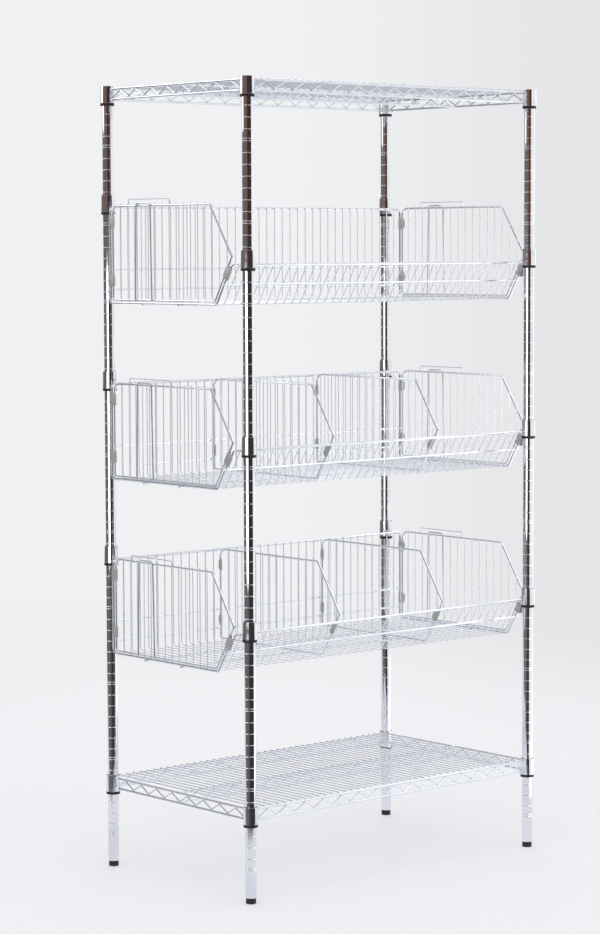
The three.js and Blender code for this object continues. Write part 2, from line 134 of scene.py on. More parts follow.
def bent(name, routes, radius, rings=WIRE_RINGS, closed=False):
    """Sweeps a round wire along every route and turns the swept curve into a mesh."""
    nothing_selected()
    bpy.ops.curve.primitive_nurbs_path_add()
    piece = bpy.context.object
    piece.name = name
    path = piece.data
    path.splines.clear()
    for route in routes:
        spline = path.splines.new("POLY")
        spline.points.add(len(route) - 1)
        for knot, place in zip(spline.points, route):
            knot.co = (*place, 1.0)
        spline.use_cyclic_u = closed
    path.dimensions = "3D"
    path.bevel_depth = radius
    path.bevel_resolution = rings
    path.use_fill_caps = not closed
    bpy.ops.object.convert(target="MESH")
    return closed_and_smooth(bpy.context.object)


def rounded(corners, bends, closed=False, steps=BEND_STEPS):
    """A route through corners with an arc at each turn. Bends is one radius, or a radius per corner."""
    corners = [Vector(corner) for corner in corners]
    count = len(corners)
    if isinstance(bends, float):
        bends = [bends] * count
    route = []
    for i, (corner, bend) in enumerate(zip(corners, bends)):
        if not closed and i in (0, count - 1):
            route.append(corner)
            continue
        back = (corners[i - 1] - corner).normalized()
        ahead = (corners[(i + 1) % count] - corner).normalized()
        half = back.angle(ahead) / 2
        middle = corner + (back + ahead).normalized() * (bend / math.sin(half))
        start = (corner + back * (bend / math.tan(half)) - middle).normalized()
        end = (corner + ahead * (bend / math.tan(half)) - middle).normalized()
        route += [middle + start.slerp(end, k / steps) * bend for k in range(steps + 1)]
    return route


print("wire bender ready: bent, rounded")

# %% Copies and fitting


def copied(piece, name, offset):
    only(piece)
    bpy.ops.object.duplicate()
    twin = bpy.context.object
    twin.name = name
    bpy.ops.transform.translate(value=offset)
    bpy.ops.object.transform_apply(location=True, rotation=True, scale=True)
    return twin


def joined(name, pieces):
    only(pieces[0])
    for piece in pieces[1:]:
        piece.select_set(True)
    bpy.ops.object.join()
    pieces[0].name = name
    return pieces[0]


def fitted(piece, finish, body, slot, *stands_for):
    """Gives a finished piece its material and the body that it moves with, and hides the solids that it
    stands for.
    """
    piece.data.materials.clear()
    piece.data.materials.append(finish)
    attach(piece, body)
    if stands_for:
        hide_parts(*stands_for)
    return piece


print("fitting ready: copied, joined, fitted")

# %% [markdown]
# Finishes
# Chrome is a mirror, but never a perfect one: plating has a faint haze, wiping leaves soft smears, and
# drawn wire keeps a trace of waviness. One shared node group makes those three things from noise on the
# object's own coordinates, and each chrome uses it with its own values. Plastic has a group of its own
# for the fine moulded grain.

# %% Node helpers
VECTOR, COLOUR, NUMBER = "NodeSocketVector", "NodeSocketColor", "NodeSocketFloat"
SURFACE = (("Color", COLOUR), ("Roughness", NUMBER), ("Height", NUMBER))


def group_with(name, inputs):
    """A new node group, with the sockets that bring its inputs in and take its outputs away."""
    group = bpy.data.node_groups.new(name, "ShaderNodeTree")
    for label, kind in inputs:
        group.interface.new_socket(name=label, in_out="INPUT", socket_type=kind)
    for label, kind in SURFACE:
        group.interface.new_socket(name=label, in_out="OUTPUT", socket_type=kind)
    return group, group.nodes.new("NodeGroupInput").outputs, group.nodes.new("NodeGroupOutput").inputs


def put_out(group, sockets, *sources):
    for (label, kind), source in zip(SURFACE, sources):
        group.links.new(source, sockets[label])


def fed(tree, amount, socket):
    """Feeds a socket from another socket, or sets it to a plain number."""
    if hasattr(amount, "is_linked"):
        tree.links.new(amount, socket)
    else:
        socket.default_value = amount


def blended(tree, factor, first, second):
    """A colour mix node between two colour sockets."""
    mix = tree.nodes.new("ShaderNodeMix")
    mix.data_type = "RGBA"
    tree.links.new(factor, mix.inputs["Factor"])
    tree.links.new(first, mix.inputs["A"])
    tree.links.new(second, mix.inputs["B"])
    return mix.outputs["Result"]


def noise(tree, vector, scale, detail):
    texture = tree.nodes.new("ShaderNodeTexNoise")
    texture.inputs["Detail"].default_value = detail
    tree.links.new(vector, texture.inputs["Vector"])
    tree.links.new(scale, texture.inputs["Scale"])
    return texture.outputs["Fac"]


def ranged(tree, value, low, high, to_low=0.0, to_high=1.0):
    """A smooth step from to_low to to_high while the value goes from low to high."""
    remap = tree.nodes.new("ShaderNodeMapRange")
    remap.interpolation_type = "SMOOTHSTEP"
    for label, amount in (("From Min", low), ("From Max", high), ("To Min", to_low), ("To Max", to_high)):
        fed(tree, amount, remap.inputs[label])
    tree.links.new(value, remap.inputs["Value"])
    return remap.outputs["Result"]


print("node helpers ready: blended, noise, ranged")

# %% Shared node groups
SMEAR_DETAIL, WAVE_DETAIL, GRAIN_DETAIL = 5.0, 2.0, 3.0
SMEAR_TINT = (0.42, 0.72)
SMEAR_DULLS = (0.35, 0.75)
GRAIN_DULLS = (0.3, 0.7)

plating_inputs = (
    ("Vector", VECTOR), ("Bright", COLOUR), ("Hazy", COLOUR), ("Clear", NUMBER),
    ("Smeared", NUMBER), ("Smear Scale", NUMBER), ("Wave Scale", NUMBER),
)
plating, plated, plating_out = group_with("plating_haze", plating_inputs)
smear = noise(plating, plated["Vector"], plated["Smear Scale"], SMEAR_DETAIL)
haze = blended(plating, ranged(plating, smear, *SMEAR_TINT), plated["Bright"], plated["Hazy"])
dulled = ranged(plating, smear, *SMEAR_DULLS, plated["Clear"], plated["Smeared"])
wave = noise(plating, plated["Vector"], plated["Wave Scale"], WAVE_DETAIL)
put_out(plating, plating_out, haze, dulled, wave)

moulding_inputs = (
    ("Vector", VECTOR), ("Dark", COLOUR), ("Light", COLOUR), ("Grain Scale", NUMBER),
    ("Shiny", NUMBER), ("Dull", NUMBER),
)
moulding, moulded, moulding_out = group_with("moulded_grain", moulding_inputs)
grain = noise(moulding, moulded["Vector"], moulded["Grain Scale"], GRAIN_DETAIL)
speckle = blended(moulding, grain, moulded["Dark"], moulded["Light"])
grain_dulled = ranged(moulding, grain, *GRAIN_DULLS, moulded["Shiny"], moulded["Dull"])
put_out(moulding, moulding_out, speckle, grain_dulled, grain)
print("node groups:", plating.name, "and", moulding.name)

# %% [markdown]
# The materials themselves hold one Principled shader each. The groups feed its colour, roughness and
# bump; whatever is the same all over, such as being metal, is set on the shader's own socket. Thin wire
# is duller than the tubes, and part of it answers to plain light, so it stays pale where a tube is dark.

# %% Material makers
WAVE_DEPTH = 0.02 * MM
GRAIN_DEPTH = 0.05 * MM


def material_from(name, group, values, metallic, bump_depth):
    finish = bpy.data.materials.new(name)
    finish.use_nodes = True
    tree = finish.node_tree
    shader = tree.nodes["Principled BSDF"]
    shader.inputs["Metallic"].default_value = metallic
    coordinates = tree.nodes.new("ShaderNodeTexCoord")
    effect = tree.nodes.new("ShaderNodeGroup")
    effect.node_tree = group
    tree.links.new(coordinates.outputs["Object"], effect.inputs["Vector"])
    for label, amount in values.items():
        effect.inputs[label].default_value = amount
    bump = tree.nodes.new("ShaderNodeBump")
    bump.inputs["Strength"].default_value = 1.0
    bump.inputs["Distance"].default_value = bump_depth
    tree.links.new(effect.outputs["Height"], bump.inputs["Height"])
    tree.links.new(effect.outputs["Color"], shader.inputs["Base Color"])
    tree.links.new(effect.outputs["Roughness"], shader.inputs["Roughness"])
    tree.links.new(bump.outputs["Normal"], shader.inputs["Normal"])
    return finish


def chrome(
    name, bright, hazy, clear, smeared, smear_scale, wave_scale, wave_depth=WAVE_DEPTH, metallic=1.0
):
    values = {
        "Bright": (*bright, 1.0), "Hazy": (*hazy, 1.0), "Clear": clear, "Smeared": smeared,
        "Smear Scale": smear_scale, "Wave Scale": wave_scale,
    }
    return material_from(name, plating, values, metallic, wave_depth)


def plastic(name, dark, light, grain_scale, shiny, dull):
    values = {
        "Dark": (*dark, 1.0), "Light": (*light, 1.0), "Grain Scale": grain_scale,
        "Shiny": shiny, "Dull": dull,
    }
    return material_from(name, moulding, values, 0.0, GRAIN_DEPTH)


print("material makers ready: chrome, plastic")

# %% Materials
tube_chrome = chrome(
    "tube_chrome", bright=(0.84, 0.84, 0.87), hazy=(0.75, 0.75, 0.79), clear=0.04, smeared=0.10,
    smear_scale=9.0, wave_scale=60.0,
)
collar_chrome = chrome(
    "collar_chrome", bright=(0.84, 0.84, 0.87), hazy=(0.72, 0.72, 0.76), clear=0.06, smeared=0.16,
    smear_scale=40.0, wave_scale=160.0,
)
wire_chrome = chrome(
    "wire_chrome", bright=(0.88, 0.895, 0.935), hazy=(0.81, 0.83, 0.885), clear=0.14, smeared=0.24,
    smear_scale=30.0, wave_scale=220.0, wave_depth=0.01 * MM, metallic=0.6,
)
deck_chrome = chrome(
    "deck_chrome", bright=(0.82, 0.84, 0.89), hazy=(0.72, 0.74, 0.80), clear=0.24, smeared=0.36,
    smear_scale=30.0, wave_scale=220.0, metallic=0.55,
)
rod_chrome = chrome(
    "rod_chrome", bright=(0.84, 0.86, 0.91), hazy=(0.75, 0.77, 0.83), clear=0.16, smeared=0.28,
    smear_scale=24.0, wave_scale=180.0, metallic=0.85,
)
clip_zinc = chrome(
    "clip_zinc", bright=(0.43, 0.44, 0.43), hazy=(0.36, 0.37, 0.37), clear=0.40, smeared=0.58,
    smear_scale=90.0, wave_scale=400.0, wave_depth=0.03 * MM, metallic=0.3,
)
stem_steel = chrome(
    "stem_steel", bright=(0.50, 0.50, 0.51), hazy=(0.36, 0.36, 0.37), clear=0.25, smeared=0.45,
    smear_scale=120.0, wave_scale=500.0,
)
black_plastic = plastic(
    "black_plastic", dark=(0.005, 0.005, 0.007), light=(0.013, 0.012, 0.016),
    grain_scale=900.0, shiny=0.42, dull=0.60,
)
grey_plastic = plastic(
    "grey_plastic", dark=(0.12, 0.12, 0.13), light=(0.19, 0.19, 0.20),
    grain_scale=700.0, shiny=0.42, dull=0.58,
)
print("materials:", len(bpy.data.materials))

# %% [markdown]
# Posts
# Each post is a steel tube with a groove rolled round it at every inch, so a sleeve can clip on at any
# height. Every seventh mark is a double groove, which helps to find the same height on all four posts.
# A bump map could suggest the grooves, but here they are real: the profile dips at each mark before it is
# spun, so a groove also shows at the edge of the tube and breaks the mirror image.

# %% Post tubes
POST_FOOT, POST_TOP = (place[2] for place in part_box("post_front_left"))
POST_RADIUS = 12.7 * MM
POST_BORE = 11.5 * MM
MARK = 25.4 * MM
LOWEST_MARK, HIGHEST_MARK = 3, 71
DOUBLE_EVERY = 7
DOUBLE_RISE = 5.2 * MM
GROOVE_HALF = 0.95 * MM
GROOVE_DEPTH = 0.8 * MM
WALL_DEPTH_SHARE, WALL_WIDTH_SHARE = 0.8, 0.3
EDGE_ROLL = 0.5 * MM
TUBE_SIDES = 40


def corner_place(corner):
    low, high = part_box("post_" + corner)
    return Vector(((low[0] + high[0]) / 2, (low[1] + high[1]) / 2, 0.0))


def groove_heights():
    heights = []
    for mark in range(LOWEST_MARK, HIGHEST_MARK + 1):
        heights.append(mark * MARK)
        if (mark - LOWEST_MARK) % DOUBLE_EVERY == 0:
            heights.append(mark * MARK + DOUBLE_RISE)
    return heights


def groove_outline(height):
    wall_radius = POST_RADIUS - GROOVE_DEPTH * WALL_DEPTH_SHARE
    wall_half = GROOVE_HALF * WALL_WIDTH_SHARE
    return [
        (POST_RADIUS, height - GROOVE_HALF), (wall_radius, height - wall_half),
        (POST_RADIUS - GROOVE_DEPTH, height),
        (wall_radius, height + wall_half), (POST_RADIUS, height + GROOVE_HALF),
    ]


post_outline = [(POST_BORE, POST_FOOT), (POST_RADIUS - EDGE_ROLL, POST_FOOT)]
post_outline.append((POST_RADIUS, POST_FOOT + EDGE_ROLL))
for height in groove_heights():
    post_outline += groove_outline(height)
post_outline += [
    (POST_RADIUS, POST_TOP - EDGE_ROLL), (POST_RADIUS - EDGE_ROLL, POST_TOP),
    (POST_BORE, POST_TOP), (POST_BORE, POST_FOOT),
]
post_pattern = turned("post_pattern", post_outline, TUBE_SIDES)
for corner in CORNERS:
    tube = copied(post_pattern, f"post_{corner}_tube", corner_place(corner))
    fitted(tube, tube_chrome, "frame", "chrome", "post_" + corner)
bpy.data.objects.remove(post_pattern)
print("posts:", len(groove_heights()), "grooves each")

# %% [markdown]
# Caps and levelling feet
# A low plastic cap closes each tube at the top. At the bottom a foot screws into a threaded plug, so
# the rack can be levelled. All of them are turned from one outline each. The stem's thread could be a
# helix, but a row of ridges has far fewer faces and looks the same when a foot is screwed out.

# %% Outlines of caps, feet and stems
CAP_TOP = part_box("cap_front_left")[1][2]
CAP_RADIUS = 12.4 * MM
CAP_PLUG = 11.1 * MM
CAP_DEPTH = 10 * MM
CAP_SEAT = 0.2 * MM
CAP_LEAD_IN, CAP_LEAD_LENGTH = 0.6 * MM, 1.2 * MM
CAP_RIM = 0.3 * MM
CAP_SHOULDER_IN, CAP_SHOULDER_DROP = 0.8 * MM, 0.65 * MM
CAP_DOME = ((0.72, 0.22 * MM), (0.36, 0.05 * MM))
FOOT_RADIUS = 11.6 * MM
FOOT_HEIGHT = 12.6 * MM
FOOT_EDGE = 0.7 * MM
SOLE_INSET = 2.2 * MM
SOLE_EDGE, SOLE_TOP = 0.5 * MM, 1.9 * MM
FOOT_GROOVE_LOW, FOOT_GROOVE_HIGH = 7.4 * MM, 9.4 * MM
FOOT_GROOVE_WALL = 0.6 * MM
STEM_RADIUS = 4 * MM
STEM_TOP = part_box("foot_front_left")[1][2]
STEM_SUNK = 1 * MM
THREAD_PITCH = 1.5 * MM
THREAD_DEPTH = 0.7 * MM
THREAD_CREST, THREAD_ROOT = 0.3, 0.75

cap_foot = POST_TOP - CAP_DEPTH
cap_seat = POST_TOP + CAP_SEAT
cap_outline = [
    (0.0, cap_foot), (CAP_PLUG - CAP_LEAD_IN, cap_foot), (CAP_PLUG, cap_foot + CAP_LEAD_LENGTH),
    (CAP_PLUG, cap_seat), (CAP_RADIUS, cap_seat), (CAP_RADIUS, cap_seat + CAP_RIM),
    (CAP_RADIUS - CAP_SHOULDER_IN, CAP_TOP - CAP_SHOULDER_DROP),
]
cap_outline += [(CAP_RADIUS * share, CAP_TOP - drop) for share, drop in CAP_DOME]
cap_outline.append((0.0, CAP_TOP))
foot_waist = FOOT_RADIUS - FOOT_EDGE
foot_outline = [
    (0.0, 0.0), (FOOT_RADIUS - SOLE_INSET, 0.0), (foot_waist, SOLE_EDGE), (FOOT_RADIUS, SOLE_TOP),
    (FOOT_RADIUS, FOOT_GROOVE_LOW), (foot_waist, FOOT_GROOVE_LOW + FOOT_GROOVE_WALL),
    (foot_waist, FOOT_GROOVE_HIGH - FOOT_GROOVE_WALL), (FOOT_RADIUS, FOOT_GROOVE_HIGH),
    (FOOT_RADIUS, FOOT_HEIGHT - FOOT_EDGE), (foot_waist, FOOT_HEIGHT), (0.0, FOOT_HEIGHT),
]
thread_turns = int((STEM_TOP - FOOT_HEIGHT) / THREAD_PITCH) - 1
stem_root = STEM_RADIUS - THREAD_DEPTH
stem_outline = [(0.0, FOOT_HEIGHT - STEM_SUNK), (STEM_RADIUS, FOOT_HEIGHT - STEM_SUNK)]
for turn in range(thread_turns):
    height = FOOT_HEIGHT + turn * THREAD_PITCH
    stem_outline.append((STEM_RADIUS, height + THREAD_CREST * THREAD_PITCH))
    stem_outline.append((stem_root, height + THREAD_ROOT * THREAD_PITCH))
stem_outline += [(stem_root, STEM_TOP), (0.0, STEM_TOP)]
print("stem thread:", thread_turns, "ridges")

# %% Caps, feet and stems
CAP_SIDES, STEM_SIDES = 32, 20

cap_pattern = turned("cap_pattern", cap_outline, CAP_SIDES)
foot_pattern = turned("foot_pattern", foot_outline, CAP_SIDES)
stem_pattern = turned("stem_pattern", stem_outline, STEM_SIDES)
for corner in CORNERS:
    place = corner_place(corner)
    cap = copied(cap_pattern, f"cap_{corner}_dome", place)
    fitted(cap, grey_plastic, "frame", "grey_plastic", "cap_" + corner)
    pad = copied(foot_pattern, f"foot_{corner}_pad", place)
    fitted(pad, black_plastic, "foot_" + corner, "black_plastic", "foot_" + corner)
    stem = copied(stem_pattern, f"foot_{corner}_stem", place)
    fitted(stem, stem_steel, "foot_" + corner, "chrome")
    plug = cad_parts["insert_" + corner]
    plug.data.materials.clear()
    plug.data.materials.append(grey_plastic)
for pattern in (cap_pattern, foot_pattern, stem_pattern):
    bpy.data.objects.remove(pattern)
print("caps and feet at", len(CORNERS), "corners")

# %% [markdown]
# Sleeves
# A black plastic sleeve in two halves clips round a post, and a bead inside it, which never shows, catches
# in a groove. It tapers upwards, so the weight on the collar wedges the two together. A whole ring would
# need its split line cut out. Instead each half is one profile face that is spun through a little less
# than half a turn, which leaves the split line open.

# %% Split sleeves
SLEEVE_HEIGHT = 36 * MM
SLEEVE_FOOT_RADIUS = 16.2 * MM
SLEEVE_TOP_RADIUS = 14.6 * MM
SLEEVE_BORE = 12.95 * MM
SLEEVE_LEAD_IN = 0.3 * MM
FLANGE_EDGE_IN, FLANGE_EDGE_RISE = 0.5 * MM, 0.6 * MM
FLANGE_STEP = 0.4 * MM
FLANGE_SIDE, FLANGE_TOP = 5.4 * MM, 6.1 * MM
HALF_TURN = 180.0
SPLIT_ANGLE = 5.0
SLEEVE_HALF_SIDES = 18
TIERS = ("top", "bottom") + BASKETS

sleeve_outline = [
    (SLEEVE_BORE, SLEEVE_LEAD_IN), (SLEEVE_BORE + SLEEVE_LEAD_IN, 0.0),
    (SLEEVE_FOOT_RADIUS - FLANGE_EDGE_IN, 0.0), (SLEEVE_FOOT_RADIUS, FLANGE_EDGE_RISE),
    (SLEEVE_FOOT_RADIUS, FLANGE_SIDE), (SLEEVE_FOOT_RADIUS - FLANGE_STEP, FLANGE_TOP),
    (SLEEVE_TOP_RADIUS, SLEEVE_HEIGHT), (SLEEVE_BORE, SLEEVE_HEIGHT), (SLEEVE_BORE, SLEEVE_LEAD_IN),
]
half_sweep = HALF_TURN - SPLIT_ANGLE
halves = []
for first in (0.0, HALF_TURN):
    start = first + SPLIT_ANGLE / 2
    halves.append(turned("sleeve_half", sleeve_outline, SLEEVE_HALF_SIDES, half_sweep, start))
sleeve_pattern = joined("sleeve_pattern", halves)
for tier in TIERS:
    for corner in CORNERS:
        node = f"sleeve_{tier}_{corner}"
        place = corner_place(corner) + Vector((0.0, 0.0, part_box(node)[0][2]))
        pair = copied(sleeve_pattern, node + "_halves", place)
        fitted(pair, black_plastic, "frame", "black_plastic", node)
bpy.data.objects.remove(sleeve_pattern)
print("sleeves:", len(TIERS) * len(CORNERS))

# %% [markdown]
# Collars
# Each tier ends in four short tapered tubes that drop over the sleeves. A cylinder with Solidify would
# give a wall too, but one turned outline gives the wall, the taper and the rolled edges at once. The edges
# catch a thin bright line at top and bottom, as pressed tube does.

# %% Collar pattern
COLLAR_HEIGHT = 38.5 * MM
COLLAR_FOOT_RADIUS = 16.7 * MM
COLLAR_TOP_RADIUS = 16.0 * MM
COLLAR_WALL = 1.1 * MM
COLLAR_ROLL = 0.2 * MM
SLEEVE_SHOWING = 6.4 * MM

collar_outline = [
    (COLLAR_FOOT_RADIUS - COLLAR_WALL, 0.0), (COLLAR_FOOT_RADIUS - COLLAR_ROLL, 0.0),
    (COLLAR_FOOT_RADIUS, COLLAR_ROLL), (COLLAR_TOP_RADIUS, COLLAR_HEIGHT - COLLAR_ROLL),
    (COLLAR_TOP_RADIUS - COLLAR_ROLL, COLLAR_HEIGHT),
    (COLLAR_TOP_RADIUS - COLLAR_WALL, COLLAR_HEIGHT), (COLLAR_FOOT_RADIUS - COLLAR_WALL, 0.0),
]
collar_pattern = turned("collar_pattern", collar_outline, TUBE_SIDES)


def collar_base(tier, corner):
    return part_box(f"sleeve_{tier}_{corner}")[0][2] + SLEEVE_SHOWING


def collars_of(tier, name):
    made = []
    for corner in CORNERS:
        place = corner_place(corner) + Vector((0.0, 0.0, collar_base(tier, corner)))
        made.append(copied(collar_pattern, "collar_copy", place))
    return joined(name, made)


print("collar:", len(collar_pattern.data.polygons), "faces")

# %% [markdown]
# Wire shelves
# The top and bottom shelves are trusses: two rods run along every side, a zigzag of wire is welded
# between them, and one more truss runs under the middle. Thin deck wires lie across the top from front
# to rear. Each kind of wire is one sweep along many routes, which is far quicker than joining hundreds of
# cylinders. Every wire overlaps what it touches by a little, as a weld sinks one into the other.

# %% Shelves
POST_X = corner_place("front_right").x
POST_Y = corner_place("rear_right").y
ROD_RADIUS = 3 * MM
SHELF_TOP_ROD = 32 * MM
SHELF_LOW_ROD = 8.5 * MM
ZIGZAG_RADIUS = 1.7 * MM
ZIGZAG_END_GAP = 22 * MM
ZIGZAG_BEND = 3 * MM
ZIGZAG_STEPS = 4
LONG_ZIGZAGS, SHORT_ZIGZAGS = 15, 8
DECK_WIRES = 42
DECK_RADIUS = 1.7 * MM
DECK_OVERHANG = 1.5 * MM
WELD_SINK = 0.8
ROD_END = 15.6 * MM


def zigzag(place, half_length, waves, low, top):
    """A zigzag route whose peaks lie against the rods at heights low and top."""
    touch = WELD_SINK * (ROD_RADIUS + ZIGZAG_RADIUS)
    corners = []
    for i in range(2 * waves + 1):
        height = low + touch if i % 2 == 0 else top - touch
        corners.append(place((i / waves - 1) * half_length, height))
    return rounded(corners, ZIGZAG_BEND, steps=ZIGZAG_STEPS)


for tier in ("top", "bottom"):
    base = collar_base(tier, "front_left")
    top, low = base + SHELF_TOP_ROD, base + SHELF_LOW_ROD
    end_x, end_y = POST_X - ROD_END, POST_Y - ROD_END
    rods, zigzags = [], []
    for y in (-POST_Y, 0.0, POST_Y):
        reach = end_x if y else POST_X
        rods += [[(-reach, y, height), (reach, y, height)] for height in (top, low)]
        zigzags.append(zigzag(lambda s, h: (s, y, h), POST_X - ZIGZAG_END_GAP, LONG_ZIGZAGS, low, top))
    for x in (-POST_X, POST_X):
        rods += [[(x, -end_y, height), (x, end_y, height)] for height in (top, low)]
        zigzags.append(zigzag(lambda s, h: (x, s, h), POST_Y - ZIGZAG_END_GAP, SHORT_ZIGZAGS, low, top))
    deck_height = top + WELD_SINK * (ROD_RADIUS + DECK_RADIUS)
    deck_end = POST_Y + DECK_OVERHANG
    deck = []
    for i in range(1, DECK_WIRES + 1):
        x = 2 * POST_X * (i / (DECK_WIRES + 1) - 0.5)
        deck.append([(x, -deck_end, deck_height), (x, deck_end, deck_height)])
    fitted(bent(f"{tier}_shelf_deck", deck, DECK_RADIUS), deck_chrome, "frame", "chrome", tier + "_shelf")
    fitted(bent(f"{tier}_shelf_rods", rods, ROD_RADIUS, ROD_RINGS), rod_chrome, "frame", "chrome")
    fitted(bent(f"{tier}_shelf_zigzags", zigzags, ZIGZAG_RADIUS), rod_chrome, "frame", "chrome")
    fitted(collars_of(tier, f"{tier}_shelf_collars"), collar_chrome, "frame", "chrome")
    print(f"{tier} shelf: {len(rods)} rods, {len(zigzags)} zigzags, {len(deck)} deck wires")

# %% [markdown]
# Baskets
# One thick rod runs right round each basket: along the rim, down the end, forward under the floor and up
# the leaning lip. Thin wires bent to the same U lie inside it, and straight braces tie them from outside.
# The solids are split where the wires bend; here every wire is one unbroken length with a real radius.

# %% Basket routes
END_X = 453 * MM
REAR_Y = 217 * MM
RIM_RISE = 143 * MM
FLOOR_DROP = -75 * MM
FLOOR_FRONT_Y = -166 * MM
LIP_TOP_Y = -218 * MM
LIP_TOP_RISE = 12 * MM
COLLAR_LIFT = 5.3 * MM
WIRE_RADIUS = 1.25 * MM
BRACE_RADIUS = 2.4 * MM
BRACE_OVERHANG = 9 * MM
REAR_BRACES = (0.0, -46 * MM)
FLOOR_BRACES = (90 * MM, -40 * MM)
ROD_BEND = 11 * MM
ROD_BEND_STEPS = 6
WIRE_BEND = 9 * MM
WIRE_END = 2 * MM

lip_slope = Vector((0.0, LIP_TOP_Y - FLOOR_FRONT_Y, LIP_TOP_RISE - FLOOR_DROP))
lip_up = lip_slope.normalized()
lip_inward = Vector((0.0, lip_up.z, -lip_up.y))
inset = WELD_SINK * (ROD_RADIUS + WIRE_RADIUS)
brace_gap = WELD_SINK * (BRACE_RADIUS + WIRE_RADIUS)


def mark_of(tier):
    return collar_base(tier, "front_left") - COLLAR_LIFT


def basket_wire(x, mark):
    foot = Vector((x, FLOOR_FRONT_Y, mark + FLOOR_DROP)) + lip_inward * inset
    foot -= lip_up * ((foot.z - mark - FLOOR_DROP) / lip_up.z)
    corners = [
        (x, REAR_Y - inset, mark + RIM_RISE + WIRE_END),
        (x, REAR_Y - inset, mark + FLOOR_DROP),
        foot,
        foot + lip_up * (lip_slope.length + WIRE_END),
    ]
    return rounded(corners, WIRE_BEND)


def basket_frame(mark):
    rim, floor, lip = mark + RIM_RISE, mark + FLOOR_DROP, mark + LIP_TOP_RISE
    corners = [(-END_X, REAR_Y, rim), (END_X, REAR_Y, rim), (END_X, REAR_Y, floor)]
    corners += [(END_X, FLOOR_FRONT_Y, floor), (END_X, LIP_TOP_Y, lip), (-END_X, LIP_TOP_Y, lip)]
    corners += [(-END_X, FLOOR_FRONT_Y, floor), (-END_X, REAR_Y, floor)]
    return rounded(corners, ROD_BEND, closed=True, steps=ROD_BEND_STEPS)


def brace_routes(mark):
    half = END_X + BRACE_OVERHANG
    middle = Vector((0.0, FLOOR_FRONT_Y, mark + FLOOR_DROP)) + lip_slope * 0.5
    middle += lip_inward * (inset - brace_gap)
    places = [(END_X, REAR_Y - inset + brace_gap, mark + height) for height in REAR_BRACES]
    places += [(half, y, mark + FLOOR_DROP - brace_gap) for y in FLOOR_BRACES]
    places += [(half, middle.y, middle.z)]
    return [[(-reach, y, z), (reach, y, z)] for reach, y, z in places]


def stub_routes(mark):
    """Short rods that tie the lip and the rim to the collars."""
    rim, lip = mark + RIM_RISE, mark + LIP_TOP_RISE
    routes = []
    for x in (-POST_X, POST_X):
        routes.append([(x, LIP_TOP_Y, lip), (x, ROD_END - POST_Y, lip)])
        routes.append([(x, REAR_Y, rim), (x, POST_Y - ROD_END, rim)])
    return routes


print("basket depth:", round((REAR_Y - LIP_TOP_Y) / MM), "mm")

# %% Baskets
BASKET_WIRES = 36

wire_pitch = 2 * END_X / (BASKET_WIRES + 1)
for tier in BASKETS:
    body = tier + "_basket"
    mark = mark_of(tier)
    wires = [basket_wire(i * wire_pitch - END_X, mark) for i in range(1, BASKET_WIRES + 1)]
    walls = [f"{body}_{wall}" for wall in ("back", "floor", "lip")]
    fitted(bent(body + "_wires", wires, WIRE_RADIUS), wire_chrome, body, "chrome", *walls)
    rim = bent(body + "_rim_rod", [basket_frame(mark)], ROD_RADIUS, ROD_RINGS, closed=True)
    fitted(rim, rod_chrome, body, "chrome")
    braces = bent(body + "_braces", brace_routes(mark) + stub_routes(mark), BRACE_RADIUS, ROD_RINGS)
    fitted(braces, rod_chrome, body, "chrome")
    fitted(collars_of(tier, body + "_collars"), collar_chrome, body, "chrome")
bpy.data.objects.remove(collar_pattern)
print("baskets:", len(BASKETS), "with", BASKET_WIRES, "wires each at", round(wire_pitch / MM, 1), "mm")

# %% [markdown]
# End panels and dividers
# A closed rod makes the outline, with a rounded shoulder at the rear and a slope at the front. Upright
# wires are welded to its inner face and stand a little proud of the top rod. Outline and wires are separate
# sweeps because their sections differ.

# %% Panel outlines and wires
PANEL_INSET = 8.6 * MM
PANEL_ROD_RADIUS = 2.5 * MM
PANEL_WIRE_RADIUS = 1.15 * MM
PANEL_WIRE_PITCH = 25.4 * MM
PANEL_TOP_RISE = 145 * MM
PANEL_LIFT = 6.6 * MM
PANEL_BOTTOM_DROP = FLOOR_DROP + PANEL_LIFT
PANEL_SLOPE_Y = -143 * MM
NOSE_RISE = 30 * MM
PANEL_BENDS = (6 * MM, 18 * MM, 6 * MM, 4 * MM, 6 * MM)
STAND_PROUD = 5 * MM

panel_rear_y = REAR_Y - PANEL_INSET
lip_lean = math.atan2(FLOOR_FRONT_Y - LIP_TOP_Y, LIP_TOP_RISE - FLOOR_DROP)


def panel_front_y(rise):
    return FLOOR_FRONT_Y + PANEL_INSET / math.cos(lip_lean) - (rise - FLOOR_DROP) * math.tan(lip_lean)


nose_y = panel_front_y(NOSE_RISE)
toe_y = panel_front_y(PANEL_BOTTOM_DROP)


def slope_height(y, low_y, low, high_y, high):
    return low + (high - low) * (y - low_y) / (high_y - low_y)


def panel_outline(x, mark):
    bottom, top = mark + PANEL_BOTTOM_DROP, mark + PANEL_TOP_RISE
    corners = [
        (x, panel_rear_y, bottom), (x, panel_rear_y, top), (x, PANEL_SLOPE_Y, top),
        (x, nose_y, mark + NOSE_RISE), (x, toe_y, bottom),
    ]
    return rounded(corners, PANEL_BENDS, closed=True)


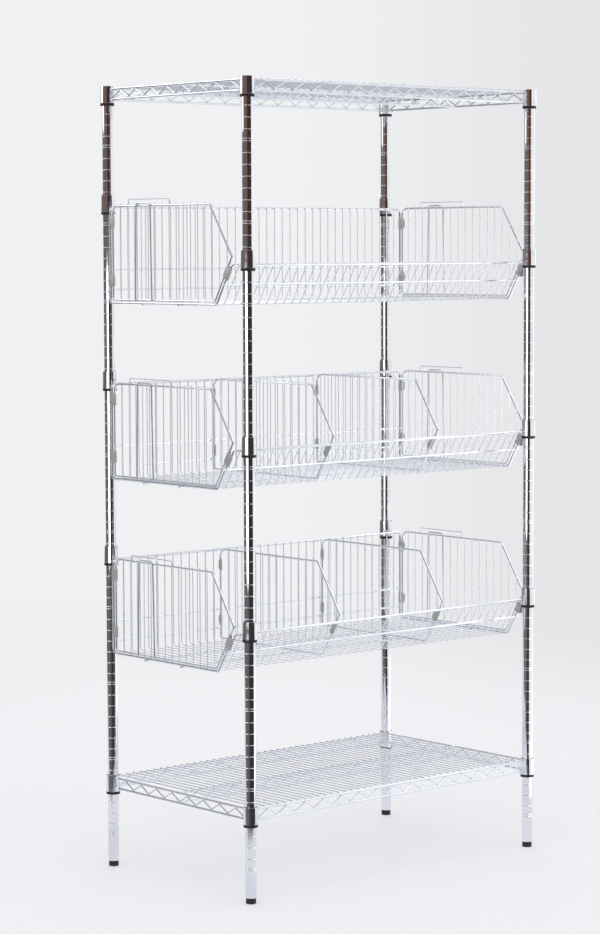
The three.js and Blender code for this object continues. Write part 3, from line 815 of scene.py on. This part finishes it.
def panel_wires(x, mark):
    routes = []
    y = panel_rear_y - PANEL_WIRE_PITCH
    while y > nose_y + PANEL_WIRE_PITCH / 2:
        top, bottom = PANEL_TOP_RISE, PANEL_BOTTOM_DROP
        if y < PANEL_SLOPE_Y:
            top = slope_height(y, nose_y, NOSE_RISE, PANEL_SLOPE_Y, PANEL_TOP_RISE)
        if y < toe_y:
            bottom = slope_height(y, nose_y, NOSE_RISE, toe_y, PANEL_BOTTOM_DROP)
        routes.append([(x, y, mark + bottom - STAND_PROUD), (x, y, mark + top + STAND_PROUD)])
        y -= PANEL_WIRE_PITCH
    return routes


def panel_grid(name, x, mark, inward):
    shifted = x + inward * WELD_SINK * (PANEL_ROD_RADIUS + PANEL_WIRE_RADIUS)
    outline = bent(name + "_outline", [panel_outline(x, mark)], PANEL_ROD_RADIUS, ROD_RINGS, closed=True)
    grid = bent(name + "_grid", panel_wires(shifted, mark), PANEL_WIRE_RADIUS)
    return outline, grid


print("panel outline from y", round(nose_y / MM), "to", round(panel_rear_y / MM), "mm")

# %% [markdown]
# Clips
# Small folded plates hold an end panel to the rods beside it. Each is a strip of sheet drawn round both
# rods as a loop, and a flat leaf with clipped corners over it. A divider's clip is a plain ring round its
# own rod, short of the basket wires, because the divider has to slide. Solidify gives the sheet its
# thickness and Bevel breaks its edges, so the fold can be drawn as a line without any thickness.

# %% Sheet parts of a clip
CLIP_SHEET = 1.0 * MM
CLIP_EDGE = 0.3 * MM
CLIP_EDGE_ANGLE = math.radians(50)
CLIP_EDGE_CUTS = 2
CLIP_PINCH = 1.3 * MM
CLIP_STEPS = 7
CLIP_WRAP = 0.62 * math.pi
CLIP_PLAY = 0.2 * MM
NEAR_RADIUS = PANEL_ROD_RADIUS + CLIP_PLAY
FAR_RADIUS = ROD_RADIUS + CLIP_PLAY
BARREL_SIDES = 20
LEAF_CORNER = 5 * MM
OUTWARDS, BOTH_WAYS = 1.0, 0.0


def clip_section(reach):
    """Half of the folded strip's section, from the panel rod over to the rod at distance reach."""
    section = []
    for k in range(CLIP_STEPS + 1):
        angle = math.pi - k * CLIP_WRAP / CLIP_STEPS
        section.append((NEAR_RADIUS * math.sin(angle), NEAR_RADIUS * math.cos(angle)))
    section.append((CLIP_PINCH, reach / 2))
    for k in range(CLIP_STEPS + 1):
        angle = CLIP_WRAP * (1 - k / CLIP_STEPS)
        section.append((FAR_RADIUS * math.sin(angle), reach + FAR_RADIUS * math.cos(angle)))
    return section


def made_of_sheet(piece, offset):
    """Gives a surface the thickness of the sheet, with its sharp edges broken."""
    only(piece)
    sheet = piece.modifiers.new("sheet", "SOLIDIFY")
    sheet.thickness = CLIP_SHEET
    sheet.offset = offset
    broken = piece.modifiers.new("broken", "BEVEL")
    broken.width = CLIP_EDGE
    broken.segments = CLIP_EDGE_CUTS
    broken.limit_method = "ANGLE"
    broken.angle_limit = CLIP_EDGE_ANGLE
    for modifier in ("sheet", "broken"):
        bpy.ops.object.modifier_apply(modifier=modifier)
    bpy.ops.object.shade_smooth_by_angle(angle=SMOOTH_BELOW)
    return piece


def strip(reach, length):
    """The folded strip at the origin. It reaches along +Y and runs along Z."""
    half = clip_section(reach)
    loop = half + [(-x, y) for x, y in reversed(half[1:-1])] + half[:1]
    piece = drawn("clip_strip", [(x, y, -length / 2) for x, y in loop])
    bpy.ops.mesh.remove_doubles(threshold=WELD_TOGETHER)
    bpy.ops.mesh.extrude_region_move(TRANSFORM_OT_translate={"value": (0.0, 0.0, length)})
    bpy.ops.mesh.select_all(action="SELECT")
    bpy.ops.mesh.normals_make_consistent(inside=False)
    bpy.ops.object.mode_set(mode="OBJECT")
    return made_of_sheet(piece, OUTWARDS)


def leaf(x, low_y, high_y, length):
    """A flat leaf upright in the plane at x, with its four corners clipped."""
    half = length / 2
    outline = [
        (low_y + LEAF_CORNER, -half), (high_y - LEAF_CORNER, -half), (high_y, LEAF_CORNER - half),
        (high_y, half - LEAF_CORNER), (high_y - LEAF_CORNER, half), (low_y + LEAF_CORNER, half),
        (low_y, half - LEAF_CORNER), (low_y, LEAF_CORNER - half),
    ]
    piece = drawn("clip_leaf", [(x, y, z) for y, z in outline])
    bpy.ops.mesh.edge_face_add()
    bpy.ops.object.mode_set(mode="OBJECT")
    return made_of_sheet(piece, BOTH_WAYS)


def barrel(length):
    """A plain ring of sheet round the panel rod."""
    half = length / 2
    inner, outer = NEAR_RADIUS, NEAR_RADIUS + CLIP_SHEET
    outline = [(inner, -half), (outer, -half), (outer, half), (inner, half), (inner, -half)]
    return turned("clip_barrel", outline, BARREL_SIDES)


print("clip section has", len(clip_section(PANEL_INSET)), "points")

# %% Clips of a panel
CLIP_HEIGHT = 26 * MM
LIP_CLIP_LENGTH = 30 * MM
REAR_CLIP_RISES = (108 * MM, -24 * MM)
LIP_CLIP_PLACE = 79 * MM


def clip(reach, length, leaf_x, leaf_low, leaf_high):
    folded = strip(reach, length) if reach else barrel(length)
    return joined("clip", [folded, leaf(leaf_x, leaf_low, leaf_high, length)])


def panel_clips(name, x, mark, reach, leaf_x, rear_leaf, lip_leaf):
    """The two rear clips and the lip clip of a panel. With no reach they hold the panel rod alone."""
    pieces = []
    for rise in REAR_CLIP_RISES:
        rear = clip(reach, CLIP_HEIGHT, leaf_x, *rear_leaf)
        pieces.append(copied(rear, "rear_clip", (x, panel_rear_y, mark + rise)))
        bpy.data.objects.remove(rear)
    front = clip(reach, LIP_CLIP_LENGTH, leaf_x, *lip_leaf)
    only(front)
    bpy.ops.object.mode_set(mode="EDIT")
    bpy.ops.mesh.select_all(action="SELECT")
    bpy.ops.transform.resize(value=(1.0, -1.0, 1.0), center_override=CENTRE)
    bpy.ops.mesh.normals_make_consistent(inside=False)
    bpy.ops.transform.translate(value=(0.0, PANEL_INSET, LIP_CLIP_PLACE))
    bpy.ops.transform.rotate(value=-lip_lean, orient_axis="X", center_override=CENTRE)
    bpy.ops.transform.translate(value=(x, FLOOR_FRONT_Y, mark + FLOOR_DROP))
    bpy.ops.object.mode_set(mode="OBJECT")
    pieces.append(front)
    return joined(name, pieces)


print("clips on each panel:", len(REAR_CLIP_RISES) + 1)

# %% [markdown]
# Every basket has an end panel at each side. Outside each panel stands a narrow bracket of thick rod, and
# a low wide loop on the top rod takes a price holder. Both are bent rod, so both are routes for the wire
# bender.

# %% End panels
BRACKET_RADIUS = 2.2 * MM
BRACKET_TOP_SPAN = 51 * MM
BRACKET_FOOT_SPAN = 60 * MM
BRACKET_Y = 91 * MM
BRACKET_RISE = 5.5 * MM
BRACKET_OUT = 3.8 * MM
BRACKET_BEND = 7 * MM
LOOP_LENGTH = 150 * MM
LOOP_Y = 70 * MM
LOOP_RISE = 14 * MM
LOOP_LEAN = 5 * MM
LOOP_RADIUS = 1.6 * MM
LOOP_BEND = 4 * MM
END_LEAF_OUT = ROD_RADIUS + CLIP_SHEET
END_REAR_LEAF = (-4 * MM, 12 * MM)
END_LIP_LEAF = (-2.5 * MM, 19.5 * MM)


def bracket_route(x, side, mark):
    outer = x + side * BRACKET_OUT
    top, foot = mark + PANEL_TOP_RISE + BRACKET_RISE, mark + PANEL_BOTTOM_DROP
    half_foot, half_top = BRACKET_FOOT_SPAN / 2, BRACKET_TOP_SPAN / 2
    corners = [
        (outer, BRACKET_Y + half_foot, foot), (outer, BRACKET_Y + half_top, top),
        (outer, BRACKET_Y - half_top, top), (outer, BRACKET_Y - half_foot, foot),
    ]
    return rounded(corners, BRACKET_BEND)


def loop_route(x, side, mark):
    leaning = x + side * LOOP_LEAN
    foot, top = mark + PANEL_TOP_RISE, mark + PANEL_TOP_RISE + LOOP_RISE
    rear, front = LOOP_Y + LOOP_LENGTH / 2, LOOP_Y - LOOP_LENGTH / 2
    corners = [(x, rear, foot), (leaning, rear, top), (leaning, front, top), (x, front, foot)]
    return rounded(corners, LOOP_BEND)


for tier in BASKETS:
    body = tier + "_basket"
    mark = mark_of(tier)
    for end, side in (("left_end", -1), ("right_end", 1)):
        name = f"{body}_{end}"
        x = side * END_X
        outline, grid = panel_grid(name, x, mark, -side)
        fitted(outline, rod_chrome, body, "chrome", name)
        fitted(grid, wire_chrome, body, "chrome")
        bracket = bent(name + "_bracket", [bracket_route(x, side, mark)], BRACKET_RADIUS, ROD_RINGS)
        fitted(bracket, rod_chrome, body, "chrome")
        loop = bent(name + "_loop", [loop_route(x, side, mark)], LOOP_RADIUS)
        fitted(loop, wire_chrome, body, "chrome")
        clips = panel_clips(
            name + "_clips", x, mark, PANEL_INSET, side * END_LEAF_OUT, END_REAR_LEAF, END_LIP_LEAF
        )
        fitted(clips, clip_zinc, body, "chrome")
print("end panels:", 2 * len(BASKETS))

# %% [markdown]
# A divider is the same panel without bracket and loop. It rides on a body of its own, because each one
# slides along its basket, and it starts where the box of its solid starts.

# %% Dividers
DIVIDERS = ("middle_divider_left", "middle_divider_right", "lower_divider_left", "lower_divider_right")
SOLID_HALF_ROD = 2.2 * MM
DIVIDER_LEAF_OUT = -(PANEL_ROD_RADIUS + CLIP_SHEET)
DIVIDER_LEAF = (-9 * MM, 3.2 * MM)
NO_REACH = 0.0

for name in DIVIDERS:
    mark = mark_of(name.split("_")[0])
    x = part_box(name)[0][0] + SOLID_HALF_ROD
    outline, grid = panel_grid(name, x, mark, 1)
    fitted(outline, rod_chrome, name, "chrome", name)
    fitted(grid, wire_chrome, name, "chrome")
    clips = panel_clips(name + "_clips", x, mark, NO_REACH, DIVIDER_LEAF_OUT, DIVIDER_LEAF, DIVIDER_LEAF)
    fitted(clips, clip_zinc, name, "chrome")
print("dividers:", len(DIVIDERS))

# %% [markdown]
# Stage
# Chrome has hardly a colour of its own: it looks like what stands round it. In an all white surround the
# posts would vanish, and in a dark one the wires would turn black. So the stage has two layers. Plain pale
# light falls on everything, and mirror rays alone, which the Light Path node picks out, see a second
# surround that is pale behind the rack and dark in front of it.

# %% Directions and node helpers for the stage
CAMERA_YAW = math.radians(40.933)
TOWARDS_CAMERA = Vector((-math.sin(CAMERA_YAW), -math.cos(CAMERA_YAW), 0.0))
CAMERA_LEFT = Vector((-math.cos(CAMERA_YAW), math.sin(CAMERA_YAW), 0.0))
VECTOR_MATH = "ShaderNodeVectorMath"


def worked_out(tree, kind, operation, *amounts):
    """The outputs of a math node that gets the amounts in order."""
    sum_node = tree.nodes.new(kind)
    sum_node.operation = operation
    for amount, socket in zip(amounts, sum_node.inputs):
        fed(tree, amount, socket)
    return sum_node.outputs


def dotted(tree, vector, axis):
    return worked_out(tree, VECTOR_MATH, "DOT_PRODUCT", vector, axis)["Value"]


def times(tree, first, second):
    return worked_out(tree, "ShaderNodeMath", "MULTIPLY", first, second)["Value"]


def plain_colour(tree, colour):
    source = tree.nodes.new("ShaderNodeRGB")
    source.outputs["Color"].default_value = (*colour, 1.0)
    return source.outputs["Color"]


def mixed(tree, factor, first, second):
    """A shader mix node between two shader sockets."""
    mix = tree.nodes.new("ShaderNodeMixShader")
    fed(tree, factor, mix.inputs["Fac"])
    tree.links.new(first, mix.inputs[1])
    tree.links.new(second, mix.inputs[2])
    return mix.outputs["Shader"]


print("the camera stands towards", [round(part, 2) for part in TOWARDS_CAMERA])

# %% [markdown]
# The world is painted like a sky, by the direction of a ray. Three numbers describe it: how high it
# points, how far towards the camera and how far to the camera's left. A mask is a smooth step over one of
# them, or a product of several, and each colour is laid over the last one with its mask. The backdrop
# that the camera sees is a soft grey that darkens to the right.

# %% World
PALE_BEHIND = (0.90, 0.90, 0.915)
DARK_LEFT = (0.145, 0.135, 0.130)
DARK_RIGHT = (0.036, 0.033, 0.036)
BAND_BROWN = (0.20, 0.105, 0.070)
OVERHEAD_GREY = (0.42, 0.42, 0.45)
GLOW_PALE = (0.85, 0.85, 0.87)
BACKDROP_LEFT = (0.872, 0.879, 0.893)
BACKDROP_RIGHT = (0.785, 0.785, 0.80)
AMBIENT = (0.80, 0.80, 0.81)
FRONT_BEGINS = (-0.72, -0.55)
DARK_TURNS = (-0.2, 0.8)
BAND_RIGHT_END, BAND_LEFT_END = (0.05, 0.14), (0.88, 0.76)
BAND_FRONT = (0.0, 0.2)
BAND_FOOT, BAND_TOP = (-0.004, 0.006), (0.22, 0.12)
OVERHEAD_BEGINS = (0.45, 0.62)
GLOW_SIDE, GLOW_FOOT = (-0.15, -0.45), (0.22, 0.40)
BACKDROP_TURNS = (-0.11, 0.01)
LEVEL_ONLY = (1.0, 1.0, 0.0)

world = bpy.data.worlds.new("studio")
bpy.context.scene.world = world
world.use_nodes = True
sky = world.node_tree
sky.nodes.clear()
direction = sky.nodes.new("ShaderNodeTexCoord").outputs["Generated"]
flat = worked_out(sky, VECTOR_MATH, "MULTIPLY", direction, LEVEL_ONLY)["Vector"]
level = worked_out(sky, VECTOR_MATH, "NORMALIZE", flat)["Vector"]
height = dotted(sky, direction, UPRIGHT)
facing = dotted(sky, level, TOWARDS_CAMERA)
sideways = dotted(sky, level, CAMERA_LEFT)


def from_to(mask, first, second):
    return blended(sky, mask, plain_colour(sky, first), plain_colour(sky, second))


def laid_over(below, mask, colour):
    return blended(sky, mask, below, plain_colour(sky, colour))


dark_front = from_to(ranged(sky, sideways, *DARK_TURNS), DARK_RIGHT, DARK_LEFT)
in_front = ranged(sky, facing, *FRONT_BEGINS)
mirror_colour = blended(sky, in_front, plain_colour(sky, PALE_BEHIND), dark_front)
band_sides = times(sky, ranged(sky, sideways, *BAND_RIGHT_END), ranged(sky, sideways, *BAND_LEFT_END))
band_width = times(sky, band_sides, ranged(sky, facing, *BAND_FRONT))
band_rise = times(sky, ranged(sky, height, *BAND_FOOT), ranged(sky, height, *BAND_TOP))
mirror_colour = laid_over(mirror_colour, times(sky, band_width, band_rise), BAND_BROWN)
mirror_colour = laid_over(mirror_colour, ranged(sky, height, *OVERHEAD_BEGINS), OVERHEAD_GREY)
glow_mask = times(sky, ranged(sky, sideways, *GLOW_SIDE), ranged(sky, height, *GLOW_FOOT))
mirror_colour = laid_over(mirror_colour, glow_mask, GLOW_PALE)
backdrop = from_to(ranged(sky, sideways, *BACKDROP_TURNS), BACKDROP_RIGHT, BACKDROP_LEFT)
light_path = sky.nodes.new("ShaderNodeLightPath")
seen = blended(sky, light_path.outputs["Is Glossy Ray"], plain_colour(sky, AMBIENT), mirror_colour)
seen = blended(sky, light_path.outputs["Is Camera Ray"], seen, backdrop)
glow = sky.nodes.new("ShaderNodeBackground")
sky.links.new(seen, glow.inputs["Color"])
sky_out = sky.nodes.new("ShaderNodeOutputWorld")
sky.links.new(glow.outputs["Background"], sky_out.inputs["Surface"])
print("world:", len(sky.nodes), "nodes")

# %% [markdown]
# The floor is white paper. The camera sees it matte, with a soft shadow: half of its brightness is its own,
# which thins the shadow as light from all round does. Far away it fades out, and the backdrop goes on.
# Mirror rays see a bright sheet that ends a little in front of the rack. Past its edges they go on to the
# dark surround, because a floor without edges would wash out the lower posts. An edge has an angle to the
# camera's left, and the distances between which it fades.

# %% Paper floor
FLOOR_SIZE = 30.0
FLOOR_DROPPED = 0.2 * MM
PAPER_WHITE = (0.71, 0.71, 0.725)
PAPER_LIT = (0.865, 0.868, 0.895)
PAPER_LIT_SHARE = 0.5
PAPER_MIRRORED = (0.81, 0.835, 0.885)
PAPER_FADE = (1.6, 5.2)
PAPER_EDGES = (
    (0.0, 1.05, 1.45), (36.87, 1.0, 1.4), (-30.95, 0.92, 1.22), (90.0, 2.4, 3.4), (-90.0, 2.3, 2.9)
)

nothing_selected()
bpy.ops.mesh.primitive_plane_add(size=FLOOR_SIZE, location=(0.0, 0.0, -FLOOR_DROPPED))
paper = bpy.context.object
paper.name = "paper_floor"
paper_finish = bpy.data.materials.new("white_paper")
paper_finish.use_nodes = True
sheet = paper_finish.node_tree
sheet.nodes.clear()


def glowing(colour):
    source = sheet.nodes.new("ShaderNodeEmission")
    source.inputs["Color"].default_value = (*colour, 1.0)
    return source.outputs["Emission"]


def paper_edge(degrees_left, near, far):
    """A mask that fades out from near to far, at an angle to the left of the way to the camera."""
    turn = math.radians(degrees_left)
    axis = TOWARDS_CAMERA * math.cos(turn) + CAMERA_LEFT * math.sin(turn)
    return ranged(sheet, dotted(sheet, spot, axis), far, near)


spot = sheet.nodes.new("ShaderNodeTexCoord").outputs["Object"]
from_rack = worked_out(sheet, VECTOR_MATH, "LENGTH", spot)["Value"]
far_away = ranged(sheet, from_rack, *PAPER_FADE)
matte = sheet.nodes.new("ShaderNodeBsdfDiffuse")
matte.inputs["Color"].default_value = (*PAPER_WHITE, 1.0)
clear = sheet.nodes.new("ShaderNodeBsdfTransparent").outputs["BSDF"]
soft_shadow = mixed(sheet, PAPER_LIT_SHARE, matte.outputs["BSDF"], glowing(PAPER_LIT))
faded = mixed(sheet, far_away, soft_shadow, clear)
on_paper = paper_edge(*PAPER_EDGES[0])
for edge in PAPER_EDGES[1:]:
    on_paper = times(sheet, on_paper, paper_edge(*edge))
in_mirrors = mixed(sheet, on_paper, clear, glowing(PAPER_MIRRORED))
ray = sheet.nodes.new("ShaderNodeLightPath")
paper_out = sheet.nodes.new("ShaderNodeOutputMaterial")
sheet.links.new(mixed(sheet, ray.outputs["Is Glossy Ray"], faded, in_mirrors), paper_out.inputs["Surface"])
paper.data.materials.append(paper_finish)
print("paper floor:", len(PAPER_EDGES), "edges in mirrors")

# %% [markdown]
# Two large softboxes light the rack from above and from behind. Three more show only in chrome. They draw
# the pale stripes down the posts, as boards and strip lights do beside a polished thing, and because
# they stand near, the stripe falls a little differently on each post.

# %% Lamps


def soft_lamp(name, place, aim, size, watts, mirrored=False):
    """An area lamp at a place, turned to its aim. A mirrored one shows in chrome and lights nothing else."""
    bpy.ops.object.light_add(type="AREA", location=place)
    lamp = bpy.context.object
    lamp.name = name
    lamp.data.shape = "RECTANGLE"
    lamp.data.size, lamp.data.size_y = size
    lamp.data.energy = watts
    lamp.visible_camera = False
    lamp.visible_glossy = mirrored
    lamp.visible_diffuse = not mirrored
    lamp.rotation_euler = (Vector(aim) - Vector(place)).to_track_quat("-Z", "Y").to_euler()
    return lamp


nothing_selected()
lamps = [
    soft_lamp("overhead_softbox", (-0.6, -0.8, 4.2), (0.0, 0.0, 0.6), (3.2, 3.2), 90.0),
    soft_lamp("rear_softbox", (1.8, 2.6, 3.0), (0.0, 0.0, 0.8), (2.2, 2.2), 35.0),
    soft_lamp("left_softbox", (-1.5, 1.2, 2.36), (-0.4, 0.0, 1.9), (1.2, 1.2), 9.0, mirrored=True),
    soft_lamp("right_board", (1.124, -0.436, 1.0), (0.473, 0.323, 1.0), (2.2, 2.0), 13.0, mirrored=True),
    soft_lamp("front_board", (-2.87, -0.88, 0.89), (0.0, 0.0, 0.89), (1.7, 0.98), 16.7, mirrored=True),
]
print("lamps:", len(lamps))

# %% [markdown]
# Camera
# The camera was fitted to the four posts and their grooves in the picture. The lens is long and stands a
# little under the height of the top basket, which keeps the posts nearly upright.

# %% Camera and view
CAMERA_PLACE = (-4.2707, -4.8440, 1.4504)
CAMERA_PITCH = math.radians(-4.606)
CAMERA_ROLL = math.radians(-0.192)
CAMERA_SEES_TO = 60.0
PICTURE_HEIGHT = 934
FOCAL_PIXELS = 2748.05
SENSOR = 36.0

nothing_selected()
bpy.ops.object.camera_add(location=CAMERA_PLACE)
camera = bpy.context.object
camera.name = "photo_camera"
camera.data.sensor_width = SENSOR
camera.data.lens = FOCAL_PIXELS * SENSOR / PICTURE_HEIGHT
camera.data.clip_end = CAMERA_SEES_TO
aim = Euler((math.pi / 2 + CAMERA_PITCH, 0.0, -CAMERA_YAW)).to_matrix()
camera.rotation_euler = (aim @ Matrix.Rotation(CAMERA_ROLL, 3, "Z")).to_euler()
bpy.context.scene.camera = camera
bpy.context.scene.view_settings.view_transform = "Standard"
print("camera lens", round(camera.data.lens, 1), "mm")
